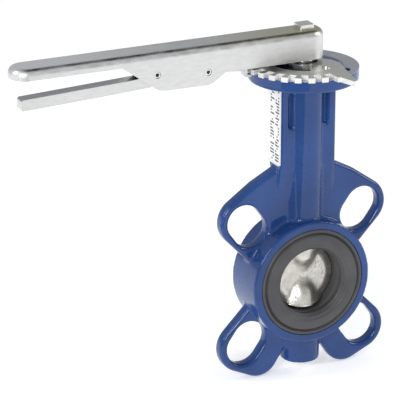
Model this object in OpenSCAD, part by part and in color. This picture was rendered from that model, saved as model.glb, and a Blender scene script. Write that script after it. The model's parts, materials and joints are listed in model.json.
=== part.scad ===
// Wafer butterfly valve, nominal bore 40, worked by a lever that locks in a notch plate.
// Origin at the centre of the bore, Y along the pipe, Z up the stem.
// The disc is closed, so the lever points to -X. Opening turns it 90 degrees towards -Y.

/* [Pipe and seat] */
// Radius of the waterway through the seat
bore_r = 20.35; // [20:0.05:20.6]
// Radius of the disc
disc_r = 20; // [19.5:0.05:20]
// Outer radius of the seat's sealing faces
seat_r = 33.1; // [32.5:0.1:33.2]
// Half of the seat's face to face length
face_half = 16.5; // [16.3:0.1:17]

/* [Casting] */
// Outer radius of the ring around the seat
ring_r = 38; // [37.5:0.1:38.2]
// Half of the ring's width along the pipe
ring_half = 15.5; // [15:0.1:15.7]
// Thickness of the four slotted ears
ear_t = 9; // [8:0.5:10]
// Distance of each slot's centre from the bore's axis
slot_centre_r = 52.6; // [52:0.1:53]
// Half of a slot's width
slot_half_w = 10.7; // [9.5:0.1:10.8]
// Half of the distance between a slot's two end arcs
slot_reach = 3.2; // [2:0.1:3.4]
// Radius of the round column that holds the stem
column_r = 12; // [11.6:0.1:12.5]
// Lowest point of the boss under the ring
boss_bottom = -53.4; // [-54:0.1:-52]

/* [Top flange] */
// Radius of the actuator flange
flange_r = 32.5; // [32:0.1:32.5]
// Height of the flange's top face above the bore's axis
flange_top = 130.8; // [130.5:0.1:131]
// Thickness of the flange
flange_t = 7.5; // [7:0.1:7.8]
// Pitch circle of the four actuator holes
flange_pcd = 50; // [49:0.5:51]
// Radius of the actuator holes
flange_hole_r = 3.5; // [3:0.1:3.5]

/* [Stem] */
// Radius of the two stems
stem_r = 6; // [5.8:0.1:6]
// Side of the square on the top of the upper stem
stem_square = 9; // [8.5:0.1:9.2]
// Height of the top of the upper stem
stem_top = 156.1; // [155.5:0.1:157.5]

/* [Notch plate] */
// Thickness of the plate
plate_t = 3; // [2.5:0.1:3]
// Radius of the tips of the teeth
tooth_r = 35.6; // [35.2:0.1:36.2]
// Radius of the bottoms of the notches
notch_r = 29.5; // [29:0.1:31]
// Width of a notch
notch_w = 4; // [4:0.1:4.4]

/* [Lever] */
// Distance of the end of the grip from the stem's axis
lever_reach = 182.5; // [180:0.5:185]
// Half of the lever's width
lever_half_w = 10; // [9.5:0.1:10.2]
// Height of the lever's top face
lever_top = 153.6; // [153.3:0.1:154]
// Height of the lever's bottom edge beside the hub
lever_bottom = 136.5; // [136.3:0.1:136.8]
// Height of the grip's underside
grip_bottom = 147.2; // [147:0.1:147.5]

/* [Trigger] */
// Half of the trigger's width
trigger_half_w = 4; // [3.5:0.1:4]
// Distance of the trigger's end from the stem's axis
trigger_reach = 177; // [174:0.5:178]

/* [Hidden] */
$fn = 96;

// Gaps: between fixed pieces, in a running fit, and between pieces that pass each other
fix_gap = 0.02;
run_gap = 0.05;
pass_gap = 0.3;
cut = 1;

// Seat
liner_r = 26.4;
liner_bore_r = liner_r + 0.1;
lip_t = 4;
lip_recess_r = seat_r + pass_gap;
seat_flare = 1.2;
seat_hole_r = stem_r + pass_gap;

// Neck of the casting: an upright bar with the column through its middle
neck_w = 36;
neck_d = 16;
neck_corner = 1;
neck_z = 70;
flange_z = flange_top - flange_t;
panel_z = [95.5, 117];
panel_half_w = 12.9;
panel_floor = 4.5;
ear_xz = slot_centre_r / sqrt(2);
slot_tilt = 54;
boss_r = 11.8;

// Bores along the stem
shaft_bore_r = 6.6;
bush_r = 9;
low_bush_r = 8.5;
o_ring_z = 96;
upper_bush_z = [98.8, 121.9];
collar_z = [122, 124.9];
collar_r = 8.2;
washer_z = [125, 126.5];
washer_pocket_r = 10.5;
circlip_z = [126.6, 127.8];
circlip_groove_r = 11.5;
spigot_r = 17.5;
spigot_depth = 2.4;
column_bush_z = [31, 56];
lower_bush_z = [-45.9, -30.5];
plug_z = -47;
plug_r = 7.9;

// Square drives at the disc
drive_square = 8;
drive_z = [10.5, 22];
hub_r = 7.5;
hub_z = [8, -4.5];
stem_shoulder = lever_bottom - 0.1;

// Notch plate and its two screws
plate_top = flange_top + plate_t;
notch_count = 8;
notch_pitch = 90 / (notch_count - 1);
plate_hole_r = 8.5;
plate_ring_r = 12;
window_r = [10.5, 21];
window_a = [-28.6, 74.6];
screw_xy = [4.3, -18.9];
screw_r = 3;
screw_head_r = 5.6;
screw_head_h = 3;
screw_socket_r = 2;

// Lever
hub_end_r = lever_half_w;
hub_end_x = 1.4;
grip_corner = 9;
lug_r = [14.6, 20];
lug_a = [-27.5, -16.5];
lug_bottom = 131.4;
slot_roof = 150.6;
slot_x = [-121, -30];
lever_slot_half = trigger_half_w + 0.5;
pivot_xz = [-97.3, 140.3];
stop_xz = [-65.6, 137.8];
pin_r = 2;
pin_bore_r = 1;
pin_half = 9.6;
set_screw_r = 2.5;
set_screw_z = 145;
set_screw_x = [4.55, 10.6];

// Trigger: a wide arm over the stop pin and a thin hook that rises between the teeth
arm_z = [142.8, 147.3];
hook_half_w = 1.65;
hook_x = [-39.6, -36.8, -33.4];
hook_z = [128.8, 130.3];

// Spring
spring_x = -104.6;
spring_z = [136.7, 150.4];
spring_mean_r = 2.1;
spring_wire_r = 0.35;
spring_turns = 6;
spring_steps = 14;
spring_sides = 6;

function polar(r, a) = [-r * cos(a), -r * sin(a)];
function swap(p) = [p[1], p[0]];
function reversed(list) = [for (i = [len(list) - 1:-1:0]) list[i]];

// An outline in X and Z, given a thickness along Y
module along_pipe(t) {
    rotate([90, 0, 0]) linear_extrude(t, center = true) children();
}

module tube(r_out, r_in, z) {
    translate([0, 0, z[0]]) difference() {
        cylinder(r = r_out, h = z[1] - z[0]);
        translate([0, 0, -cut]) cylinder(r = r_in, h = z[1] - z[0] + 2 * cut);
    }
}

module rod(r, z) {
    translate([0, 0, z[0]]) cylinder(r = r, h = z[1] - z[0]);
}

module square_rod(side, z) {
    translate([-side / 2, -side / 2, z[0]]) cube([side, side, z[1] - z[0]]);
}

module rounded_rect(w, d, r) {
    square([w - 2 * r, d], center = true);
    square([w, d - 2 * r], center = true);
    for (x = [-1, 1], y = [-1, 1]) translate([x * (w / 2 - r), y * (d / 2 - r)]) circle(r);
}

module spot(x, y, r) {
    translate([x, y]) circle(r, $fn = 32);
}

// Sector of a ring between two angles, counted from -X towards -Y
module sector(r, a, steps = 24) {
    span = [for (i = [0:steps]) a[0] + (a[1] - a[0]) * i / steps];
    polygon(concat([for (s = span) polar(r[1], s)], [for (s = reversed(span)) polar(r[0], s)]));
}

// ---- casting ----

module upper_ear() {
    hull() {
        spot(39.1, 40, 15.3);
        spot(25.5, 50, 15);
        spot(12, 60, 12.5);
        spot(26.2, 15.2, 7.6);
        spot(5, 30, 5);
    }
}

module lower_ear() {
    hull() {
        spot(39.3, -40, 15.5);
        spot(29, -47.2, 13.2);
        spot(17, -42, 6);
        spot(26.2, -15.2, 7.6);
        spot(8, -30, 5);
    }
}

module ear_slot(up) {
    translate([ear_xz, up * ear_xz]) rotate(up * slot_tilt) {
        square([2 * slot_reach, 2 * slot_half_w], center = true);
        for (s = [-1, 1]) translate([s * slot_reach, 0]) circle(slot_half_w);
    }
}

module ears() {
    along_pipe(ear_t) difference() {
        for (side = [0, 1]) mirror([side, 0]) {
            upper_ear();
            lower_ear();
        }
        for (side = [0, 1], up = [-1, 1]) mirror([side, 0]) ear_slot(up);
    }
}

module neck() {
    difference() {
        translate([0, 0, neck_z]) linear_extrude(flange_z - neck_z + cut)
            rounded_rect(neck_w, neck_d, neck_corner);
        for (side = [-1, 1]) translate([-panel_half_w, side > 0 ? panel_floor : -neck_d, panel_z[0]])
            cube([2 * panel_half_w, neck_d - panel_floor, panel_z[1] - panel_z[0]]);
    }
    rod(column_r, [0, flange_z + cut]);
}

module stem_bores() {
    rod(shaft_bore_r, [0, flange_top + cut]);
    rod(bush_r, [o_ring_z, flange_top]);
    rod(washer_pocket_r, [washer_z[0] - run_gap, flange_top + cut]);
    rod(circlip_groove_r, [circlip_z[0] - run_gap, circlip_z[1] + run_gap]);
    rod(spigot_r, [flange_top - spigot_depth, flange_top + cut]);
    rod(low_bush_r, [0, column_bush_z[1] + pass_gap]);
    rod(low_bush_r, [plug_z, 0]);
    rod(plug_r + fix_gap, [boss_bottom - cut, plug_z]);
}

module valve_body() {
    color([0.19, 0.27, 0.52]) difference() {
        union() {
            along_pipe(2 * ring_half) circle(ring_r);
            rod(boss_r, [boss_bottom, 0]);
            neck();
            rod(flange_r, [flange_z, flange_top]);
            ears();
        }
        along_pipe(2 * ring_half + 2 * cut) circle(liner_bore_r);
        for (side = [0, 1]) mirror([0, side, 0]) translate([0, lip_t - face_half, 0])
            rotate([90, 0, 0]) cylinder(r = lip_recess_r, h = lip_t);
        stem_bores();
        for (a = [45:90:315]) rotate(a) translate([flange_pcd / 2, 0, flange_z - cut])
            cylinder(r = flange_hole_r, h = flange_t + 2 * cut);
        for (side = [-1, 1]) translate([side * screw_xy[0], side * screw_xy[1], flange_z]) {
            translate([0, 0, -cut]) cylinder(r = screw_r + pass_gap, h = flange_t + 2 * cut);
            cylinder(r1 = screw_head_r + fix_gap, r2 = screw_r + fix_gap, h = screw_head_h);
        }
    }
}

module name_label() {
    label_t = 0.3;
    label_w = 14.2;
    color([0.93, 0.93, 0.92]) translate([-neck_w / 2 - label_t, -label_w / 2, neck_z + 3])
        cube([label_t, label_w, 48]);
}

// ---- seat and disc ----

module seat_liner() {
    inner = face_half - lip_t + 0.1;
    color([0.3, 0.3, 0.32]) difference() {
        rotate([90, 0, 0]) rotate_extrude() polygon([
            [bore_r, -face_half + seat_flare], [bore_r + seat_flare, -face_half],
            [seat_r, -face_half], [seat_r, -inner], [liner_r, -inner],
            [liner_r, inner], [seat_r, inner], [seat_r, face_half],
            [bore_r + seat_flare, face_half], [bore_r, face_half - seat_flare]]);
        rod(seat_hole_r, [-liner_r - cut, liner_r + cut]);
    }
}

module disc() {
    color([0.8, 0.79, 0.76]) difference() {
        intersection() {
            sphere(disc_r);
            union() {
                rotate([90, 0, 0]) rotate_extrude() polygon([
                    [0, -2.6], [12, -2.6], [15.5, -3.6], [21, -1.4],
                    [21, 1.4], [15.5, 3.6], [12, 2.6], [0, 2.6]]);
                rod(hub_r, [hub_z[0], disc_r]);
                rod(hub_r, [-disc_r, hub_z[1]]);
            }
        }
        square_rod(drive_square + 2 * run_gap, [drive_z[0] - run_gap, disc_r + cut]);
        square_rod(drive_square + 2 * run_gap, [-disc_r - cut, run_gap - drive_z[0]]);
    }
}

// ---- stems, bushes and seals ----

module upper_stem() {
    color([0.72, 0.72, 0.7]) {
        square_rod(drive_square, drive_z);
        rod(stem_r, [drive_z[1], stem_shoulder]);
        rod(collar_r, collar_z);
        intersection() {
            square_rod(stem_square, [stem_shoulder, stem_top]);
            rod(stem_r, [stem_shoulder, stem_top]);
        }
    }
}

module lower_stem() {
    color([0.72, 0.72, 0.7]) {
        square_rod(drive_square, [-drive_z[1], -drive_z[0]]);
        rod(stem_r, [lower_bush_z[0] + pass_gap, -drive_z[1]]);
    }
}

module upper_bush() {
    color([0.72, 0.55, 0.3]) tube(bush_r - fix_gap, stem_r + run_gap, upper_bush_z);
}

module column_bush() {
    color([0.72, 0.55, 0.3]) tube(low_bush_r - fix_gap, stem_r + run_gap, column_bush_z);
}

module lower_bush() {
    color([0.72, 0.55, 0.3]) tube(low_bush_r - fix_gap, stem_r + run_gap, lower_bush_z);
}

module seal_ring(pocket_r, z) {
    clear = 0.3;
    section_r = (pocket_r - stem_r) / 2 - clear;
    color([0.12, 0.12, 0.12]) translate([0, 0, z]) rotate_extrude()
        translate([(pocket_r + stem_r) / 2, 0]) circle(section_r, $fn = 32);
}

module stem_o_ring() {
    seal_ring(bush_r, o_ring_z + 1.4);
}

module lower_o_ring() {
    seal_ring(low_bush_r, lower_bush_z[1] + 1.4);
}

module thrust_washer() {
    color([0.75, 0.72, 0.66]) tube(washer_pocket_r - 0.1, stem_r + 0.4, washer_z);
}

module retaining_circlip() {
    clip_r = [8.6, circlip_groove_r - 0.1];
    mouth = 5;
    color([0.25, 0.24, 0.23]) difference() {
        tube(clip_r[1], clip_r[0], circlip_z);
        translate([0, -mouth / 2, circlip_z[0] - cut]) cube([2 * clip_r[1], mouth, 4]);
    }
}

module bottom_plug() {
    socket_r = 3;
    color([0.66, 0.63, 0.5]) difference() {
        rod(plug_r, [boss_bottom + 0.3, plug_z - 0.1]);
        translate([0, 0, boss_bottom - cut]) cylinder(r = socket_r, h = 4, $fn = 6);
    }
}

module plug_seal() {
    color([0.7, 0.45, 0.28]) tube(low_bush_r - 0.1, 4, [plug_z + 0.1, lower_bush_z[0] - 0.1]);
}

// ---- notch plate ----

// One side of the plate, from the last notch out to the horn and back to the hub
function plate_side() = [
    [2.6, -38.2], [4.2, -38.5], [7.5, -49], [9.8, -47.6], [10.5, -43.8], [12.4, -34.3],
    [13.9, -26.6], [17, -13.2], [15, -5.8], [10.7, -1.6]];

// The two sides mirror each other about the 45 degree line, and the toothed arc joins them
module plate_outline() {
    lobe_r = 7;
    arc_a = [-3.5, 93.5];
    arc_steps = 64;
    arc = [for (i = [0:arc_steps]) polar(tooth_r, arc_a[0] + (arc_a[1] - arc_a[0]) * i / arc_steps)];
    polygon(concat(reversed([for (p = plate_side()) swap(p)]), arc, plate_side()));
    circle(plate_ring_r);
    translate(-screw_xy) circle(lobe_r);
    rotate(atan2(-screw_xy[1], -screw_xy[0])) translate([0, -lobe_r]) square([norm(screw_xy), 2 * lobe_r]);
}

module notch_plate() {
    color([0.68, 0.68, 0.62]) translate([0, 0, flange_top]) linear_extrude(plate_t) difference() {
        plate_outline();
        circle(plate_hole_r);
        sector(window_r, window_a);
        for (i = [0:notch_count - 1]) rotate(180 + i * notch_pitch)
            translate([notch_r, -notch_w / 2]) square([2 * tooth_r, notch_w]);
        for (side = [-1, 1]) translate(side * screw_xy) circle(screw_r + fix_gap);
    }
}

// Countersunk screws that come up through the flange from below
module plate_screws() {
    color([0.7, 0.69, 0.62]) for (side = [-1, 1]) translate(side * screw_xy) difference() {
        union() {
            rod(screw_r, [flange_z + 0.1, plate_top - 1]);
            translate([0, 0, flange_z + 0.1])
                cylinder(r1 = screw_head_r - 0.1, r2 = screw_r, h = screw_head_h - 0.1);
        }
        translate([0, 0, flange_z - cut]) cylinder(r = screw_socket_r, h = 2.4 + cut, $fn = 6);
    }
}

// ---- lever ----

// Side view of the lever, in X and Z
function lever_side() = [
    [-200, grip_bottom], [-119, grip_bottom], [-108, 139.4], [-98.5, 132.4], [-95.5, 131],
    [-92, 130.6], [-66, 130.3], [-62.6, 131.2], [-58.4, 134.1], [-54, lever_bottom + 0.7],
    [-50, lever_bottom], [20, lever_bottom], [20, lever_top - 1], [19, lever_top],
    [-200, lever_top]];

module lever_plan() {
    length = lever_reach + hub_end_x;
    translate([hub_end_x, 0]) circle(hub_end_r);
    translate([hub_end_x - length + grip_corner, -lever_half_w])
        square([length - grip_corner, 2 * lever_half_w]);
    translate([-lever_reach, grip_corner - lever_half_w])
        square([2 * grip_corner, 2 * (lever_half_w - grip_corner)]);
    for (s = [-1, 1]) translate([grip_corner - lever_reach, s * (lever_half_w - grip_corner)])
        circle(grip_corner);
}

module cross_hole(xz, r) {
    translate([xz[0], 0, xz[1]]) rotate([90, 0, 0]) cylinder(r = r, h = 40, center = true);
}

module lever() {
    groove_end = -176;
    groove_depth = 2.3;
    color([0.8, 0.8, 0.79]) difference() {
        union() {
            intersection() {
                along_pipe(30) polygon(lever_side());
                translate([0, 0, 120]) linear_extrude(50) lever_plan();
            }
            translate([0, 0, lug_bottom]) linear_extrude(lever_bottom - lug_bottom + cut)
                sector(lug_r, lug_a, 6);
        }
        translate([slot_x[0], -lever_slot_half, 120])
            cube([slot_x[1] - slot_x[0], 2 * lever_slot_half, slot_roof - 120]);
        translate([groove_end, -lever_slot_half, grip_bottom - cut])
            cube([slot_x[0] - groove_end + cut, 2 * lever_slot_half, groove_depth + cut]);
        square_rod(stem_square + 2 * run_gap, [lever_bottom - cut, lever_top + cut]);
        cross_hole(pivot_xz, pin_r + fix_gap);
        cross_hole(stop_xz, pin_r + fix_gap);
        translate([0, 0, set_screw_z]) rotate([0, 90, 0]) cylinder(r = set_screw_r + fix_gap, h = 20);
    }
}

module lever_set_screw() {
    color([0.35, 0.35, 0.36]) translate([set_screw_x[0], 0, set_screw_z]) rotate([0, 90, 0])
        difference() {
            cylinder(r = set_screw_r, h = set_screw_x[1] - set_screw_x[0]);
            translate([0, 0, 3.5]) cylinder(r = 1.45, h = 10, $fn = 6);
        }
}

module roll_pin(xz) {
    color([0.3, 0.3, 0.3]) translate([xz[0], 0, xz[1]]) rotate([90, 0, 0]) difference() {
        cylinder(r = pin_r, h = 2 * pin_half, center = true);
        cylinder(r = pin_bore_r, h = 2 * pin_half + cut, center = true);
    }
}

module pivot_pin() {
    roll_pin(pivot_xz);
}

module stop_pin() {
    roll_pin(stop_xz);
}

// ---- trigger ----

module trigger() {
    tip = -trigger_reach;
    blade = [
        [tip, 128.8], [tip + 0.7, 128.1], [-154, 129], [-130, 130], [-99, 131.6], [-92, 133.2],
        [-84, 139.6], [-79, arm_z[0]], [hook_x[0] - 3, arm_z[0]], [hook_x[0], 140],
        [hook_x[1], 140], [hook_x[1], 143.4], [hook_x[1] - 4, arm_z[1]], [-98, arm_z[1]],
        [-100.4, 145], [-101.2, 138.1], [-111, 137.4], [-154, 135.7], [tip + 1, 134.7],
        [tip, 133.7]];
    hook = [
        [hook_x[0], 142], [hook_x[0], hook_z[0] + 1.5], [hook_x[0] + 1.5, hook_z[0]],
        [hook_x[2] - 0.8, hook_z[0]], [hook_x[2], hook_z[0] + 0.8], [hook_x[2], hook_z[1]],
        [hook_x[1], hook_z[1]], [hook_x[1], 142]];
    color([0.82, 0.82, 0.8]) difference() {
        union() {
            along_pipe(2 * trigger_half_w) polygon(blade);
            along_pipe(2 * hook_half_w) polygon(hook);
        }
        cross_hole(pivot_xz, pin_r + run_gap);
        translate([spring_x, 0, spring_z[0] - 0.1]) cylinder(r = 2.9, h = 5);
    }
}

// Helical wire, swept as rings of points along the helix
module trigger_spring() {
    rings = spring_turns * spring_steps;
    lift = spring_z[1] - spring_z[0] - 2 * spring_wire_r;
    points = [for (i = [0:rings], j = [0:spring_sides - 1])
        let (turn = 360 * i / spring_steps, side = 360 * j / spring_sides,
             r = spring_mean_r + spring_wire_r * cos(side))
        [r * cos(turn), r * sin(turn), lift * i / rings + spring_wire_r * sin(side)]];
    walls = [for (i = [0:rings - 1], j = [0:spring_sides - 1])
        let (next = (j + 1) % spring_sides)
        [i * spring_sides + j, (i + 1) * spring_sides + j,
         (i + 1) * spring_sides + next, i * spring_sides + next]];
    ends = [[for (j = [0:spring_sides - 1]) j],
            [for (j = [spring_sides - 1:-1:0]) rings * spring_sides + j]];
    color([0.45, 0.45, 0.46]) translate([spring_x, 0, spring_z[0] + spring_wire_r])
        polyhedron(points, concat(walls, ends));
}

valve_body();
seat_liner();
disc();
upper_stem();
lower_stem();
upper_bush();
column_bush();
lower_bush();
stem_o_ring();
lower_o_ring();
thrust_washer();
retaining_circlip();
bottom_plug();
plug_seal();
notch_plate();
plate_screws();
lever();
lever_set_screw();
trigger();
trigger_spring();
pivot_pin();
stop_pin();
name_label();
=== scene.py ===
import json
import math

import bpy
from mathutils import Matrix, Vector


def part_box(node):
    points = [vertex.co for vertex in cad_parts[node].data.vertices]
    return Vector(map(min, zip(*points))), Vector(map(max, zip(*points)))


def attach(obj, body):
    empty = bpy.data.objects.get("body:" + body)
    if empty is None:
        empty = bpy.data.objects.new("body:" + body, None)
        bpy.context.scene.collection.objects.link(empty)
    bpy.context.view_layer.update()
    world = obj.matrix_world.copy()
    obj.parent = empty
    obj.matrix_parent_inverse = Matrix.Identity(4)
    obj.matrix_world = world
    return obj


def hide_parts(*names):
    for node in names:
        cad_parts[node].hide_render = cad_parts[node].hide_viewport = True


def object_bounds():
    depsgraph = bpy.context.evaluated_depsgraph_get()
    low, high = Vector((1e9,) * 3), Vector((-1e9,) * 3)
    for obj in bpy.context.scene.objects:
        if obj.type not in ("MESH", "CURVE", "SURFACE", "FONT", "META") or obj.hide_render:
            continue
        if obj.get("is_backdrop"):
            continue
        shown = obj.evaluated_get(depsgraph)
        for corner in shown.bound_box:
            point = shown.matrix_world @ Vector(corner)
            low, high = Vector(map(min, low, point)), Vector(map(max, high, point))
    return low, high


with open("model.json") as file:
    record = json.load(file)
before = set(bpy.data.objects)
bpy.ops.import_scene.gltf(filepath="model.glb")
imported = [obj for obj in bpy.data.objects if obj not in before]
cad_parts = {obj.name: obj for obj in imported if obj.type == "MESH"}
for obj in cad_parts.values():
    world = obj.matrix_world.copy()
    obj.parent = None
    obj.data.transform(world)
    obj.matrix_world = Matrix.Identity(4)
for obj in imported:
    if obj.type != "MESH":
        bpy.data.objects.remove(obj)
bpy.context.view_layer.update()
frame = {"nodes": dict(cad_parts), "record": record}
MM = 0.001
mounts = {m["name"]: m for m in frame["record"]["mounts"]}


# ---- sizes, in millimetres ----

def span(node, axis):
    """The two ends of a CAD node along an axis."""
    low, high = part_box(node)
    return low[axis] / MM, high[axis] / MM


SIDES = (-1, 1)

RING_R = 38.0
RING_HALF = 15.5
LINER_TUBE_R = 26.5
LIP_R = span("seat_liner", 0)[1] + 0.3
LIP_FLOOR_Y = 12.5
FACE_Y = span("seat_liner", 1)[0]

FLANGE_TOP = mounts["actuator_flange"]["pos_m"][2] / MM
FLANGE_R = 32.5
FLANGE_T = 7.5
FLANGE_PCD = mounts["actuator_flange"]["dims"]["pcd_mm"]
FLANGE_HOLE_R = 3.5
SCREW_HOLE_R = 3.3
SCREW_SPOT = (4.3, -18.9)
SPIGOT_R = 17.5
SPIGOT_DEPTH = 2.4

# The height at which the cutters that come in from above the flange end.
CLEAR_Z = 140
# Bores along the stem's axis: name, radius, lower end, upper end, sides.
STEM_BORES = [("shaft", 6.6, 20, CLEAR_Z, 96), ("bush", 9, 96, CLEAR_Z, 96),
              ("pocket", 10.5, 124.9, CLEAR_Z, 96),
              ("spigot", SPIGOT_R, FLANGE_TOP - SPIGOT_DEPTH, CLEAR_Z, 128),
              ("bush_low", 8.5, 20, 56.3, 96), ("bush_bottom", 8.5, -47, -20, 96),
              ("plug", 7.92, -60, -47, 96)]

# The neck: a round column with a flat bar behind it, and a shallow panel in each face of the bar.
COLUMN_R = 12.0
BAR_HALF_W = 18
BAR_HALF_D = 8
BAR_FOOT = 50
BAR_TAPER = 72
PANEL_HALF_W = 12
PANEL_FLOOR = 4.5
PANEL_OUT = 20
PANEL_LOW = 95.5
PANEL_HIGH = 117
PANEL_DRAFT = 1.44

BOSS_R = 11.8
BOSS_BOTTOM = -53.4
BOSS_TOP = -30

# Each ear is a plate drawn tight round these discs: x, z, radius.
EAR_HALF = 4.5
UPPER_EAR = [(39.1, 40, 15.3), (25.5, 50, 15), (12, 60, 12.5), (26.2, 15.2, 7.6), (5, 30, 5)]
LOWER_EAR = [(39.3, -40, 15.5), (29, -47.2, 13.2), (17, -42, 6), (26.2, -15.2, 7.6), (8, -30, 5)]
SLOT_CENTRE = mounts["lug_slots"]["dims"]["pcd_mm"] / 2 / math.sqrt(2)
SLOT_HALF_W = mounts["lug_slots"]["dims"]["hole_r_mm"]
SLOT_REACH = 3.2
SLOT_TILT = math.radians(54)

SEAT_STEM_HOLE_R = 6.3
DISC_R = 20
# Half of the disc's section: radius, and half the thickness there.
DISC_SECTION = [(0.01, 2.6), (11, 2.6), (15.0, 3.7), (21.5, 1.5)]
# Stem bosses on the disc: inner radius, outer radius, inner height, outer height, flatness.
DISC_HUBS = [(5.2, 8.0, 7.5, 12, 1), (8.0, 8.8, 12, 21.5, 1), (4.4, 15, 1, 21.5, 0.6),
             (5.6, 8.4, -5.5, -10, 1), (8.4, 9.8, -10, -21.5, 1), (4.4, 17, 0, -21.5, 0.6)]
DRIVE_HALF = 4.05
DRIVE_START = 10.45
DRIVE_END = 30

LEVER_SQUARE_HALF = 5.5
LEVER_TOP_ROUNDING = 4.2
LABEL_ROUNDING = 1.2
LABEL_COLUMNS = 9
LABEL_ROWS = 26


# ---- mesh work ----

def deselect():
    """Leaves edit mode, with nothing selected."""
    if bpy.context.object and bpy.context.object.mode != "OBJECT":
        bpy.ops.object.mode_set(mode="OBJECT")
    bpy.ops.object.select_all(action="DESELECT")


def pick(piece):
    """Makes a piece the only selected one."""
    deselect()
    piece.select_set(True)
    bpy.context.view_layer.objects.active = piece
    return piece


def named(name):
    """Names the piece that was just made."""
    piece = bpy.context.object
    piece.name = piece.data.name = name
    return pick(piece)


def settle(piece):
    """The piece's place goes into its mesh."""
    pick(piece)
    bpy.ops.object.transform_apply(location=True, rotation=True, scale=True)
    return piece


def edit(piece, *steps):
    """Runs edit mode steps with every part of the mesh selected."""
    pick(piece)
    bpy.ops.object.mode_set(mode="EDIT")
    bpy.ops.mesh.select_all(action="SELECT")
    for step in steps:
        step()
    bpy.ops.object.mode_set(mode="OBJECT")
    return piece


def rod(name, radius, low, high, axis="Z", sides=96, at=(0, 0)):
    """A cylinder in millimetres between two places along Z or Y, at a place across it."""
    middle = (low + high) / 2
    spot = {"Z": (at[0], at[1], middle), "Y": (at[0], middle, at[1])}[axis]
    turn = {"Z": (0, 0, 0), "Y": (math.pi / 2, 0, 0)}[axis]
    deselect()
    bpy.ops.mesh.primitive_cylinder_add(vertices=sides, radius=radius * MM, depth=(high - low) * MM,
                                        location=[c * MM for c in spot], rotation=turn)
    return settle(named(name))


def block(name, low, high):
    """A box in millimetres, between two corners."""
    deselect()
    bpy.ops.mesh.primitive_cube_add(size=1, location=[(a + b) / 2 * MM for a, b in zip(low, high)])
    piece = named(name)
    piece.scale = [(b - a) * MM for a, b in zip(low, high)]
    return settle(piece)


def joined(name, pieces):
    """Several pieces as one mesh, still overlapping."""
    deselect()
    for piece in pieces:
        piece.select_set(True)
    bpy.context.view_layer.objects.active = pieces[0]
    bpy.ops.object.join()
    return named(name)


def modify(piece, kind, **settings):
    """Adds a modifier and applies it."""
    modifier = piece.modifiers.new(kind.lower(), kind)
    for key, value in settings.items():
        setattr(modifier, key, value)
    pick(piece)
    bpy.ops.object.modifier_apply(modifier=modifier.name)
    return piece


def cut(piece, tool, operation="DIFFERENCE"):
    """Takes a tool out of a piece, or keeps what they share, and uses up the tool."""
    modify(piece, "BOOLEAN", object=tool, operation=operation, solver="EXACT")
    bpy.data.objects.remove(tool)
    return piece


def round_edges(piece, width, segments=3, angle=35):
    """Breaks the edges that turn by more than an angle."""
    return modify(piece, "BEVEL", width=width * MM, segments=segments, limit_method="ANGLE",
                  angle_limit=math.radians(angle), use_clamp_overlap=True, harden_normals=False)


def fuse(piece, voxel, softening):
    """Overlapping solids become one skin, and its corners flow into each other as in a casting."""
    modify(piece, "REMESH", mode="VOXEL", voxel_size=voxel * MM)
    return modify(piece, "SMOOTH", factor=0.5, iterations=softening)


def turned(name, profile, steps=192):
    """A profile of (radius, distance along the pipe) points, spun round the pipe's axis."""
    points = [Vector((r * MM, y * MM, 0)) for r, y in profile]
    deselect()
    bpy.ops.mesh.primitive_plane_add(size=MM, location=points[0])
    piece = settle(named(name))
    bpy.context.tool_settings.mesh_select_mode = (True, False, False)
    bpy.ops.object.mode_set(mode="EDIT")
    bpy.ops.mesh.select_all(action="SELECT")
    bpy.ops.mesh.merge(type="CENTER")
    for here, there in zip(points, points[1:]):
        bpy.ops.mesh.extrude_vertices_move(TRANSFORM_OT_translate={"value": there - here})
    bpy.ops.mesh.select_all(action="SELECT")
    bpy.ops.mesh.spin(steps=steps, angle=2 * math.pi, center=(0, 0, 0), axis=(0, 1, 0))
    bpy.ops.mesh.select_all(action="SELECT")
    bpy.ops.mesh.remove_doubles(threshold=1e-6)
    bpy.ops.mesh.normals_make_consistent(inside=False)
    bpy.ops.object.mode_set(mode="OBJECT")
    return piece


def copy_of(node, name, whole=True):
    """A CAD node's shape as a clean mesh for bevels, with its flat faces made whole or not."""
    pick(frame["nodes"][node])
    bpy.ops.object.duplicate()
    piece = named(name)
    piece.parent = None
    for key in list(piece.keys()):
        del piece[key]
    edit(piece, lambda: bpy.ops.mesh.remove_doubles(threshold=2e-6))
    if whole:
        edit(piece, lambda: bpy.ops.mesh.dissolve_limited(angle_limit=math.radians(1)))
    return piece


def hull(piece):
    """Draws a skin tight round a piece, with its flat faces whole."""
    return edit(piece, lambda: bpy.ops.mesh.convex_hull(),
                lambda: bpy.ops.mesh.dissolve_limited(angle_limit=math.radians(1)))


def select_edges(piece, test):
    """Selects the edges whose two ends, in millimetres, pass a test, and stays in edit mode."""
    pick(piece)
    bpy.context.tool_settings.mesh_select_mode = (False, True, False)
    bpy.ops.object.mode_set(mode="EDIT")
    bpy.ops.mesh.select_all(action="DESELECT")
    bpy.ops.object.mode_set(mode="OBJECT")
    corners = piece.data.vertices
    for edge in piece.data.edges:
        edge.select = test(*(corners[v].co / MM for v in edge.vertices))
    bpy.ops.object.mode_set(mode="EDIT")


def finish(piece, material, body, slot, node, smooth=35, flats=False):
    """Gives a piece its material, its shading and its place in the assembly."""
    piece.data.materials.clear()
    piece.data.materials.append(material)
    pick(piece)
    bpy.ops.object.shade_smooth_by_angle(angle=math.radians(smooth))
    if flats:
        modify(piece, "WEIGHTED_NORMAL", keep_sharp=True, weight=90)
    deselect()
    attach(piece, body)
    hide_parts(node)


# ---- shader maths ----

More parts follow.
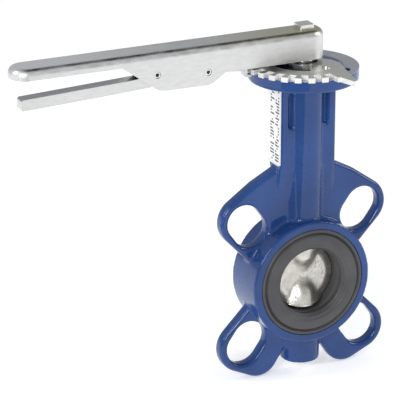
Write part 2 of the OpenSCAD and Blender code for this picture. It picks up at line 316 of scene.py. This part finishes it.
class Term:
    """A socket that takes part in sums, so that shader maths reads as sums do."""

    def __init__(self, finish, socket):
        self.finish, self.socket = finish, socket

    def __add__(self, other):
        return self.finish.maths("ADD", self, other)

    def __sub__(self, other):
        return self.finish.maths("SUBTRACT", self, other)

    def __rsub__(self, other):
        return self.finish.maths("SUBTRACT", other, self)

    def __mul__(self, other):
        return self.finish.maths("MULTIPLY", self, other)

    def __pow__(self, other):
        return self.finish.maths("POWER", self, other)


class Finish:
    """A material, with the nodes that give it its grain."""

    def __init__(self, name, **constants):
        self.material = bpy.data.materials.new(name)
        self.material.use_nodes = True
        self.tree = self.material.node_tree
        self.shader = self.tree.nodes["Principled BSDF"]
        for key, value in constants.items():
            self.shader.inputs[key.replace("_", " ")].default_value = value
        self.place = self.node("ShaderNodeTexCoord", out="Object")

    def node(self, kind, settings=None, values=None, out=0):
        made = self.tree.nodes.new(kind)
        for key, value in (settings or {}).items():
            setattr(made, key, value)
        for key, value in (values or {}).items():
            if isinstance(value, Term):
                self.tree.links.new(value.socket, made.inputs[key])
            else:
                made.inputs[key].default_value = value
        return Term(self, made.outputs[out])

    def maths(self, operation, *terms):
        return self.node("ShaderNodeMath", {"operation": operation}, dict(enumerate(terms)))

    def stretch(self, x, y, z):
        """Object coordinates, squeezed along each axis."""
        return self.node("ShaderNodeVectorMath", {"operation": "MULTIPLY"}, {0: self.place, 1: (x, y, z)})

    def noise(self, scale, detail, place=None):
        return self.node("ShaderNodeTexNoise", None, {"Vector": place or self.place, "Scale": scale,
                                                      "Detail": detail})

    def between(self, term, low, high, start=0.0, end=1.0):
        """Maps a stretch of a term's values to a new one, and holds it there."""
        return self.node("ShaderNodeMapRange", None, {0: term, 1: low, 2: high, 3: start, 4: end})

    def part(self, vector, index):
        return self.node("ShaderNodeSeparateXYZ", None, {0: vector}, out=index)

    def axis(self, index):
        return self.part(self.place, index)

    def upward(self):
        """How far the surface faces up, from -1 to 1."""
        return self.part(self.node("ShaderNodeNewGeometry", out="Normal"), 2)

    def radius(self, first, second):
        """Distance from an axis, in metres."""
        a, b = self.axis(first), self.axis(second)
        return (a * a + b * b) ** 0.5

    def blend(self, factor, first, second):
        def colour(c):
            return c if isinstance(c, Term) else (*c, 1)
        return self.node("ShaderNodeMix", {"data_type": "RGBA"}, {0: factor, 6: colour(first),
                                                                7: colour(second)}, out=2)

    def feed(self, socket, term):
        self.tree.links.new(term.socket, self.shader.inputs[socket])

    def bump(self, height, distance, strength):
        normal = self.node("ShaderNodeBump", None, {"Strength": strength, "Distance": distance,
                                                    "Height": height})
        self.feed("Normal", normal)


# ---- finishes ----

def blue_enamel():
    """Gloss enamel over cast iron, with orange peel and pits; the flange's milled top gets a painted glare of
    pale grey, with some metal and less coat.
    """
    f = Finish("blue_enamel", Coat_Roughness=0.03, Specular_IOR_Level=0.05)
    on_top = f.between(f.axis(2), (FLANGE_TOP - 0.4) * MM, (FLANGE_TOP - 0.1) * MM)
    # The flange's milled top, outside 22 mm from the stem, gets a painted glare; nearer the stem, where the
    # lever shades it, it stays blue.
    milled_top_glare = on_top * f.between(f.radius(0, 1), 0.022, 0.024)
    cast = f.noise(90, 3)
    peel = f.noise(300, 1.5)
    pits = f.between(f.noise(900, 1), 0.62, 0.75)
    tone = f.between(f.noise(28, 4), 0.35, 0.65)
    coat = f.blend(pits * 0.4, f.blend(tone, (0.012, 0.044, 0.165), (0.020, 0.066, 0.235)),
                   (0.006, 0.014, 0.07))
    # Painted glare: the milled top is blended to pale grey.
    f.feed("Base Color", f.blend(milled_top_glare * 0.85, coat, (0.48, 0.49, 0.52)))
    f.feed("Metallic", milled_top_glare * 0.5)
    f.feed("Coat Weight", 0.75 - milled_top_glare * 0.6)
    f.feed("Roughness", f.between(peel, 0.3, 0.7, 0.22, 0.36))
    f.bump(cast * 0.6 + peel * 0.3 - pits * 0.2, 0.0006, 0.5)
    return f.material


def seat_rubber():
    """Moulded rubber: fine matt grain, faint mould rings and a little bloom."""
    f = Finish("seat_rubber", Metallic=0.0, Specular_IOR_Level=0.5)
    rings = f.maths("SINE", f.radius(0, 2) * 9000)
    grain = f.noise(1400, 2)
    bloom = f.between(f.noise(60, 4), 0.4, 0.7)
    f.feed("Base Color", f.blend(bloom * 0.6, (0.052, 0.052, 0.056), (0.085, 0.085, 0.089)))
    f.feed("Roughness", f.between(grain, 0.3, 0.7, 0.40, 0.56))
    f.bump(grain * 0.8 + rings * 0.12, 0.0001, 0.5)
    return f.material


def disc_steel():
    """Investment-cast stainless steel: grainy faces with soft dark pits, and a polished sealing edge."""
    f = Finish("disc_steel", Metallic=1.0)
    reach = f.node("ShaderNodeVectorMath", {"operation": "LENGTH"}, {0: f.place}, out=1)
    edge = f.between(reach, 0.0193, 0.0197)
    grain = f.noise(1300, 3)
    pits = f.between(f.noise(1100, 2), 0.58, 0.70) * f.between(f.noise(90, 2), 0.42, 0.6) * (1 - edge)
    tone = f.between(f.noise(170, 4), 0.3, 0.7)
    f.feed("Base Color", f.blend(pits * 0.7, f.blend(tone, (0.54, 0.52, 0.47), (0.78, 0.76, 0.71)),
                                 (0.30, 0.27, 0.22)))
    f.feed("Roughness", f.between(grain, 0.3, 0.7, 0.30, 0.46) - edge * 0.16)
    f.bump((grain * 0.6 - pits) * (1 - edge), 0.00022, 0.8)
    return f.material


def stem_steel():
    """Ground bar: fine rings round the stem."""
    f = Finish("stem_steel", Metallic=1.0)
    rings = f.noise(1, 2, f.stretch(300, 300, 6000))
    tone = f.noise(120, 3)
    f.feed("Base Color", f.blend(tone, (0.66, 0.65, 0.62), (0.82, 0.81, 0.78)))
    f.feed("Roughness", f.between(rings, 0.3, 0.7, 0.2, 0.36))
    f.bump(rings, 0.00003, 0.5)
    return f.material


def cast_aluminium():
    """Die-cast aluminium: flow marks on the sides, a top with a painted highlight at the grip and a straw
    colour near the hub, and painted shade on the trigger's top, which lies below the lever."""
    f = Finish("cast_aluminium", Metallic=1.0)
    # Upward faces: they carry the painted highlight at the grip and the painted shade on the trigger's top.
    faces_up = f.between(f.upward(), 0.25, 0.85)
    grip = f.between(f.axis(0), -0.080, -0.150)
    worn = f.between(f.axis(0), -0.060, -0.020)
    # Below 144 mm the upward faces are the trigger's top under the lever, which gets painted shade.
    shaded = f.between(f.axis(2), 0.146, 0.144)
    marks = f.noise(1, 2, f.stretch(90, 2600, 2600))
    flow = f.noise(1, 4, f.stretch(160, 300, 420))
    grain = f.noise(1500, 2)
    pale = f.blend(f.between(flow, 0.35, 0.65), (0.68, 0.68, 0.67), (0.78, 0.78, 0.77))
    # Painted highlight: the grip's upward faces are lifted towards white.
    bright = f.blend(grip * faces_up, pale, (0.95, 0.95, 0.96))
    top = f.blend(worn * faces_up * 0.8, bright, (0.55, 0.53, 0.37))
    # Painted shade: the trigger's upward faces under the lever are darker grey.
    f.feed("Base Color", f.blend(faces_up * shaded, top, (0.46, 0.46, 0.47)))
    f.feed("Roughness", f.between(flow, 0.3, 0.7, 0.34, 0.50) - faces_up * 0.12 + grain * 0.04)
    f.bump(flow * 0.6 + grain * 0.25 + marks * faces_up * 0.25, 0.00018, 0.45)
    return f.material


def zinc_plate():
    """Zinc plate that drifts from grey to straw, with a painted highlight on the upright walls of the teeth,
    which are rougher too.
    """
    f = Finish("zinc_plate", Metallic=1.0)
    drift = f.between(f.noise(70, 3), 0.35, 0.65)
    spangle = f.node("ShaderNodeTexVoronoi", None, {"Vector": f.place, "Scale": 420.0}, out="Color")
    crystal = f.part(spangle, 0)
    up = f.upward()
    # Upright faces beyond 22 mm from the stem, the teeth's walls, are painted near white: a painted
    # highlight; they are also rougher.
    tooth_wall_highlight = f.between(up * up, 0.5, 0.1) * f.between(f.radius(0, 1), 0.022, 0.026)
    plating = f.blend(drift, (0.66, 0.67, 0.65), (0.74, 0.73, 0.66))
    f.feed("Base Color", f.blend(tooth_wall_highlight, plating, (0.93, 0.93, 0.91)))
    f.feed("Roughness", f.between(crystal, 0.0, 1.0, 0.26, 0.44) + tooth_wall_highlight * 0.25)
    f.bump(f.noise(900, 2) + crystal * 0.2, 0.00006, 0.5)
    return f.material


def dark_steel():
    """Black oxide with bright rubbed spots."""
    f = Finish("dark_steel", Metallic=1.0)
    rub = f.between(f.noise(500, 3), 0.5, 0.7)
    f.feed("Base Color", f.blend(rub, (0.09, 0.09, 0.09), (0.34, 0.33, 0.32)))
    f.feed("Roughness", 0.46 - rub * 0.15)
    f.bump(f.noise(1500, 2), 0.00003, 0.5)
    return f.material


def bearing_bronze():
    """Turned bronze: fine rings round the stem."""
    f = Finish("bearing_bronze", Metallic=1.0)
    rings = f.noise(1, 2, f.stretch(200, 200, 5000))
    tone = f.between(f.noise(180, 3), 0.3, 0.7)
    f.feed("Base Color", f.blend(tone, (0.46, 0.29, 0.12), (0.62, 0.43, 0.20)))
    f.feed("Roughness", f.between(rings, 0.3, 0.7, 0.28, 0.44))
    f.bump(rings, 0.00003, 0.5)
    return f.material


def black_rubber():
    """Moulded seal rubber with a fine grain."""
    f = Finish("black_rubber", Metallic=0.0)
    grain = f.noise(2200, 2)
    f.feed("Base Color", f.blend(grain, (0.010, 0.010, 0.011), (0.026, 0.026, 0.027)))
    f.feed("Roughness", f.between(grain, 0.3, 0.7, 0.4, 0.6))
    f.bump(grain, 0.00003, 0.5)
    return f.material


def label_film(low, high):
    """White film with a generic print: two columns of short bars that say nothing."""
    f = Finish("label_film", Metallic=0.0, Specular_IOR_Level=0.4)
    across = f.between(f.axis(1), low.y, high.y)
    along = f.between(f.axis(2), low.z, high.z)
    rows = along * LABEL_ROWS
    cells = f.node("ShaderNodeCombineXYZ", None, {0: f.maths("FLOOR", across * LABEL_COLUMNS),
                                                  1: f.maths("FLOOR", rows)})
    picked = f.node("ShaderNodeTexWhiteNoise", {"noise_dimensions": "2D"}, {"Vector": cells})
    bars = f.maths("GREATER_THAN", picked, 0.42) * f.maths("LESS_THAN", f.maths("FRACT", rows), 0.55)
    off_middle = f.maths("ABSOLUTE", across - 0.5)
    columns = f.maths("LESS_THAN", off_middle, 0.40) * f.maths("GREATER_THAN", off_middle, 0.05)
    ends = f.maths("LESS_THAN", f.maths("ABSOLUTE", along - 0.5), 0.465)
    ink = bars * columns * ends
    soil = f.between(f.noise(180, 4), 0.45, 0.75)
    paper = f.blend(soil * 0.5, (0.86, 0.86, 0.85), (0.66, 0.66, 0.66))
    f.feed("Base Color", f.blend(ink, paper, (0.05, 0.05, 0.06)))
    f.feed("Roughness", f.between(soil, 0.0, 1.0, 0.34, 0.5))
    f.bump(f.noise(700, 2) - ink * 0.3, 0.00003, 0.5)
    return f.material


def pale_floor():
    """Studio paper that glows a little, so that it stays white."""
    f = Finish("pale_floor", Metallic=0.0, Specular_IOR_Level=0.1, Emission_Color=(1, 1, 1, 1),
               Emission_Strength=0.42)
    tone = f.noise(3, 3)
    f.feed("Base Color", f.blend(tone, (0.90, 0.90, 0.90), (0.93, 0.93, 0.93)))
    f.feed("Roughness", f.between(tone, 0.0, 1.0, 0.8, 0.95))
    return f.material


# ---- casting ----

def ear(side, spots):
    return hull(joined("ear", [rod("disc", r, -EAR_HALF, EAR_HALF, "Y", 64, (x * side, z))
                               for x, z, r in spots]))


def ear_slot(side, up):
    """A cutter for an ear's leaning slot."""
    lean = Vector((math.cos(SLOT_TILT) * SLOT_REACH * side, math.sin(SLOT_TILT) * SLOT_REACH * up))
    middle = Vector((SLOT_CENTRE * side, SLOT_CENTRE * up))
    ends = [rod("slot", SLOT_HALF_W, -2 * EAR_HALF, 2 * EAR_HALF, "Y", 96, middle + s * lean) for s in SIDES]
    return hull(joined("slot", ends))


def slotted_ears():
    made = []
    for side in SIDES:
        for up, spots in ((1, UPPER_EAR), (-1, LOWER_EAR)):
            made.append(round_edges(cut(ear(side, spots), ear_slot(side, up)), 2.4, 4, 50))
    return made


def neck_bar(top):
    """An upright bar whose foot thins down into the ears behind it."""
    bar = block("bar", (-BAR_HALF_W, -BAR_HALF_D, BAR_TAPER), (BAR_HALF_W, BAR_HALF_D, top))
    select_edges(bar, lambda a, b: max(a.z, b.z) < BAR_TAPER + 1)
    bpy.ops.mesh.select_mode(type="FACE")
    bpy.ops.mesh.extrude_region_move(TRANSFORM_OT_translate={"value": (0, 0, (BAR_FOOT - BAR_TAPER) * MM)})
    bpy.ops.transform.resize(value=(1, EAR_HALF / BAR_HALF_D, 1))
    bpy.ops.object.mode_set(mode="OBJECT")
    round_edges(bar, 1.0, 2, 60)
    for side in SIDES:
        cut(bar, panel_cutter(side))
    return bar


def panel_cutter(side):
    """A block that widens outwards, so that the panel's walls have draft."""
    near, far = sorted((PANEL_FLOOR * side, PANEL_OUT * side))
    panel = block("panel", (-PANEL_HALF_W, near, PANEL_LOW), (PANEL_HALF_W, far, PANEL_HIGH))
    select_edges(panel, lambda a, b: min(a.y * side, b.y * side) > PANEL_OUT - 5)
    bpy.ops.transform.resize(value=(PANEL_DRAFT, 1, 1))
    bpy.ops.object.mode_set(mode="OBJECT")
    return panel


def casting_blank():
    """The rough casting: solids that run a little way into each other, fused into one skin."""
    flange_z = FLANGE_TOP - FLANGE_T
    ring = rod("ring", RING_R, -RING_HALF, RING_HALF, "Y", 192)
    cut(ring, rod("core", LINER_TUBE_R - 2, -40, 40, "Y"))
    boss = rod("boss", BOSS_R, BOSS_BOTTOM, BOSS_TOP)
    column = rod("column", COLUMN_R, 30, flange_z + 2)
    flange = rod("flange", FLANGE_R, flange_z, FLANGE_TOP + 1.5, "Z", 192)
    blank = joined("casting", [ring, boss, column, flange, neck_bar(flange_z + 2), *slotted_ears()])
    return fuse(blank, 0.75, 7)


def machine(casting):
    """Takes the machined faces and bores out of the cast blank, so that they stay crisp."""
    cut(casting, block("mill", (-60, -60, FLANGE_TOP), (60, 60, FLANGE_TOP + 20)))
    cut(casting, rod("liner_bore", LINER_TUBE_R, -30, 30, "Y", 192))
    for side in SIDES:
        cut(casting, rod("lip_recess", LIP_R, *sorted((LIP_FLOOR_Y * side, 30 * side)), "Y", 192))
    for name, radius, low, high, sides in STEM_BORES:
        cut(casting, rod(name, radius, low, high, "Z", sides))
    for quarter in range(4):
        angle = math.radians(45 + 90 * quarter)
        spot = (FLANGE_PCD / 2 * math.cos(angle), FLANGE_PCD / 2 * math.sin(angle))
        cut(casting, rod("hole", FLANGE_HOLE_R, 110, CLEAR_Z, "Z", 48, spot))
    for side in SIDES:
        spot = [c * side for c in SCREW_SPOT]
        cut(casting, rod("screw_hole", SCREW_HOLE_R, 110, CLEAR_Z, "Z", 48, spot))
    return casting


# ---- seat and disc ----

def seat_profile():
    """Half of the seat's section, from the middle of its back round the front face to the bore."""
    y = FACE_Y
    return [(26.3, 0), (26.3, y + 4.1), (33.0, y + 4.1), (33.1, y + 4.0), (33.1, y + 1.4), (32.8, y + 0.8),
            (32.2, y + 0.5), (31.6, y + 0.55), (31.2, y + 0.9), (30.9, y + 1.7), (30.5, y + 2.0),
            (30.1, y + 1.7), (29.8, y + 0.8), (29.3, y + 0.25), (28.6, y + 0.03), (26.0, y), (24.4, y + 0.02),
            (23.9, y + 0.2), (23.6, y + 0.6), (23.2, y + 0.75), (22.4, y + 0.75), (22.0, y + 0.9),
            (21.5, y + 1.5), (21.2, y + 2.2), (20.6, y + 2.5), (20.4, y + 3.0), (20.4, y + 4.6),
            (20.8, y + 5.0), (21.3, y + 5.4), (21.3, y + 7.2), (20.8, y + 7.7), (20.45, y + 8.1),
            (20.4, y + 10), (20.38, 0)]


def seat_liner():
    """The section spun round, with a hole for each stem."""
    half = seat_profile()
    profile = half + [(r, -y) for r, y in reversed(half[1:-1])]
    piece = turned("rubber_seat", profile + profile[:1])
    for low, high in ((-30, -10), (10, 30)):
        cut(piece, rod("stem_hole", SEAT_STEM_HOLE_R, low, high, "Z", 64))
    return piece


def flared_hub(inner_r, outer_r, inner, outer, flatness):
    """A stem boss in millimetres that widens from the disc's middle to its rim."""
    lower_r, upper_r = (inner_r, outer_r) if outer > inner else (outer_r, inner_r)
    deselect()
    bpy.ops.mesh.primitive_cone_add(vertices=96, radius1=lower_r * MM, radius2=upper_r * MM,
                                    depth=abs(outer - inner) * MM, location=(0, 0, (inner + outer) / 2 * MM))
    hub = named("hub")
    hub.scale.y = flatness
    return settle(hub)


def valve_disc():
    """A plate with flared bosses, cut to a sphere, with a square socket for each stem."""
    front = [(r, -y) for r, y in DISC_SECTION]
    plate = turned("valve_disc", front + DISC_SECTION[::-1], 128)
    edit(plate, lambda: bpy.ops.mesh.remove_doubles(threshold=3e-5),
         lambda: bpy.ops.mesh.normals_make_consistent(inside=False))
    piece = fuse(joined("valve_disc", [plate, *(flared_hub(*hub) for hub in DISC_HUBS)]), 0.45, 110)
    deselect()
    bpy.ops.mesh.primitive_uv_sphere_add(segments=128, ring_count=64, radius=DISC_R * MM)
    cut(piece, named("sphere"), "INTERSECT")
    for low, high in ((DRIVE_START, DRIVE_END), (-DRIVE_END, -DRIVE_START)):
        cut(piece, block("drive", (-DRIVE_HALF, -DRIVE_HALF, low), (DRIVE_HALF, DRIVE_HALF, high)))
    return piece


# ---- lever and label ----

def lever():
    """The CAD's lever with a full round along its top edge, but not round the stem's square."""
    piece = copy_of("lever", "lever_casting")
    top = span("lever", 2)[1]

    def on_rim(p):
        return p.z > top - 0.02 and max(abs(p.x), abs(p.y)) >= LEVER_SQUARE_HALF

    select_edges(piece, lambda a, b: on_rim(a) and on_rim(b))
    bpy.ops.mesh.bevel(offset=LEVER_TOP_ROUNDING * MM, segments=8, profile=0.5, affect="EDGES",
                       clamp_overlap=False)
    bpy.ops.object.mode_set(mode="OBJECT")
    round_edges(piece, 0.5, 2, 50)
    return piece


def label():
    """A thin film, rounded on every edge."""
    low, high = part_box("name_label")
    piece = block("type_label", low / MM, high / MM)
    edit(piece, lambda: bpy.ops.mesh.bevel(offset=LABEL_ROUNDING * MM, segments=5, affect="EDGES"))
    return round_edges(piece, 0.08, 2, 60)


# ---- floor, light and camera ----

VIEW_TARGET = Vector((-0.0664, 0, 0.0574))
VIEW_AZIMUTH = -25.0
VIEW_ELEVATION = 20.34
VIEW_DISTANCE = 1.5346
LENS = 237.6
FLOOR_SIZE = 24
FLOOR_GAP = 0.0005
WORLD_STRENGTH = 0.45


def set_floor():
    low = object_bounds()[0]
    deselect()
    bpy.ops.mesh.primitive_plane_add(size=FLOOR_SIZE, location=(0, 0, low.z - FLOOR_GAP))
    floor = settle(named("floor"))
    floor.data.materials.append(pale_floor())
    floor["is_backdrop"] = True


def towards(azimuth, elevation):
    """The way from the target to a place seen at these angles, in degrees."""
    a, e = math.radians(azimuth), math.radians(elevation)
    return Vector((math.sin(a) * math.cos(e), -math.cos(a) * math.cos(e), math.sin(e)))


def softbox(name, azimuth, elevation, distance, size, energy):
    data = bpy.data.lights.new(name, "AREA")
    data.shape = "RECTANGLE"
    data.size, data.size_y = size
    data.energy = energy
    lamp = bpy.data.objects.new(name, data)
    bpy.context.scene.collection.objects.link(lamp)
    way = towards(azimuth, elevation)
    lamp.location = VIEW_TARGET + way * distance
    lamp.rotation_mode = "QUATERNION"
    lamp.rotation_quaternion = (-way).to_track_quat("-Z", "Y")
    lamp.visible_camera = False


def dark_card(name, tone, low, high):
    """A flat flag in millimetres, of one grey. Only the glossy faces mirror it."""
    card = block(name, low, high)
    f = Finish(name, Metallic=0.0, Specular_IOR_Level=0.0)
    darker = (tone, tone, tone * 1.05)
    lighter = (tone * 1.2, tone * 1.2, tone * 1.25)
    f.feed("Base Color", f.blend(f.noise(20, 2), darker, lighter))
    card.data.materials.append(f.material)
    card.visible_camera = card.visible_diffuse = card.visible_shadow = False
    card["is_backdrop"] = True


def set_flags():
    floor_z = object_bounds()[0].z / MM
    dark_card("front_flag", 0.3, (-900, -1100, floor_z + 0.5), (-150, -180, floor_z + 1.5))
    dark_card("left_flag", 0.3, (-470, -140, floor_z + 0.5), (-230, 200, floor_z + 1.5))
    dark_card("top_flag", 0.02, (-300, -450, 1300), (1300, 600, 1301))


def set_light():
    world = bpy.data.worlds.new("studio")
    world.use_nodes = True
    background = world.node_tree.nodes["Background"]
    background.inputs["Color"].default_value = (0.95, 0.97, 1.0, 1)
    background.inputs["Strength"].default_value = WORLD_STRENGTH
    bpy.context.scene.world = world
    softbox("key", -42, 22, 2.0, (0.5, 0.9), 18)
    softbox("side", 70, 28, 1.8, (0.25, 1.0), 8)
    softbox("left", -105, 30, 1.8, (0.22, 1.0), 7)


def set_camera():
    data = bpy.data.cameras.new("camera")
    data.lens, data.sensor_width = LENS, 36
    data.clip_start, data.clip_end = 0.05, 50
    camera = bpy.data.objects.new("camera", data)
    bpy.context.scene.collection.objects.link(camera)
    way = towards(VIEW_AZIMUTH, VIEW_ELEVATION)
    camera.location = VIEW_TARGET + way * VIEW_DISTANCE
    camera.rotation_mode = "QUATERNION"
    camera.rotation_quaternion = (-way).to_track_quat("-Z", "Y")
    bpy.context.scene.camera = camera


# ---- assembly ----

set_camera()
set_light()
bpy.context.scene.view_settings.view_transform = "Standard"

enamel, rubber, disc_metal = blue_enamel(), seat_rubber(), disc_steel()
steel, aluminium, zinc = stem_steel(), cast_aluminium(), zinc_plate()
dark, bronze, seal_black = dark_steel(), bearing_bronze(), black_rubber()

finish(machine(casting_blank()), enamel, "housing", "casting", "valve_body", smooth=45)
finish(seat_liner(), rubber, "housing", "seat", "seat_liner", smooth=50)
finish(valve_disc(), disc_metal, "rotor", "disc_steel", "disc", smooth=40)
finish(lever(), aluminium, "rotor", "cast_aluminium", "lever", flats=True)
finish(label(), label_film(*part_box("name_label")), "housing", "label_paper", "name_label")

# CAD shapes with broken edges: new name, width of the bevel, material, body, slot.
EDGED = {
    "notch_plate": ("toothed_plate", 0.18, zinc, "housing", "zinc_plate"),
    "plate_screws": ("countersunk_screws", 0.15, zinc, "housing", "zinc_plate"),
    "bottom_plug": ("stem_plug", 0.3, zinc, "housing", "zinc_plate"),
    "retaining_circlip": ("circlip", 0.12, dark, "housing", "spring_steel"),
    "upper_stem": ("drive_stem", 0.5, steel, "rotor", "stem_steel"),
    "lower_stem": ("pivot_stem", 0.3, steel, "rotor", "stem_steel"),
    "lever_set_screw": ("grub_screw", 0.2, dark, "rotor", "spring_steel"),
    "pivot_pin": ("trigger_roll_pin", 0.25, steel, "rotor", "stem_steel"),
    "stop_pin": ("stop_roll_pin", 0.25, steel, "rotor", "stem_steel"),
    "trigger": ("squeeze_trigger", 0.7, aluminium, "latch", "cast_aluminium"),
}
for node, (name, width, material, body, slot) in EDGED.items():
    piece = round_edges(copy_of(node, name, node == "trigger"), width)
    finish(piece, material, body, slot, node, flats=True)

# CAD meshes that stay as they are, with a new material.
KEPT = {"upper_bush": bronze, "column_bush": bronze, "lower_bush": bronze, "plug_seal": bronze,
        "stem_o_ring": seal_black, "lower_o_ring": seal_black, "thrust_washer": steel,
        "trigger_spring": dark}
for node, material in KEPT.items():
    materials = frame["nodes"][node].data.materials
    materials.clear()
    materials.append(material)

set_floor()
set_flags()
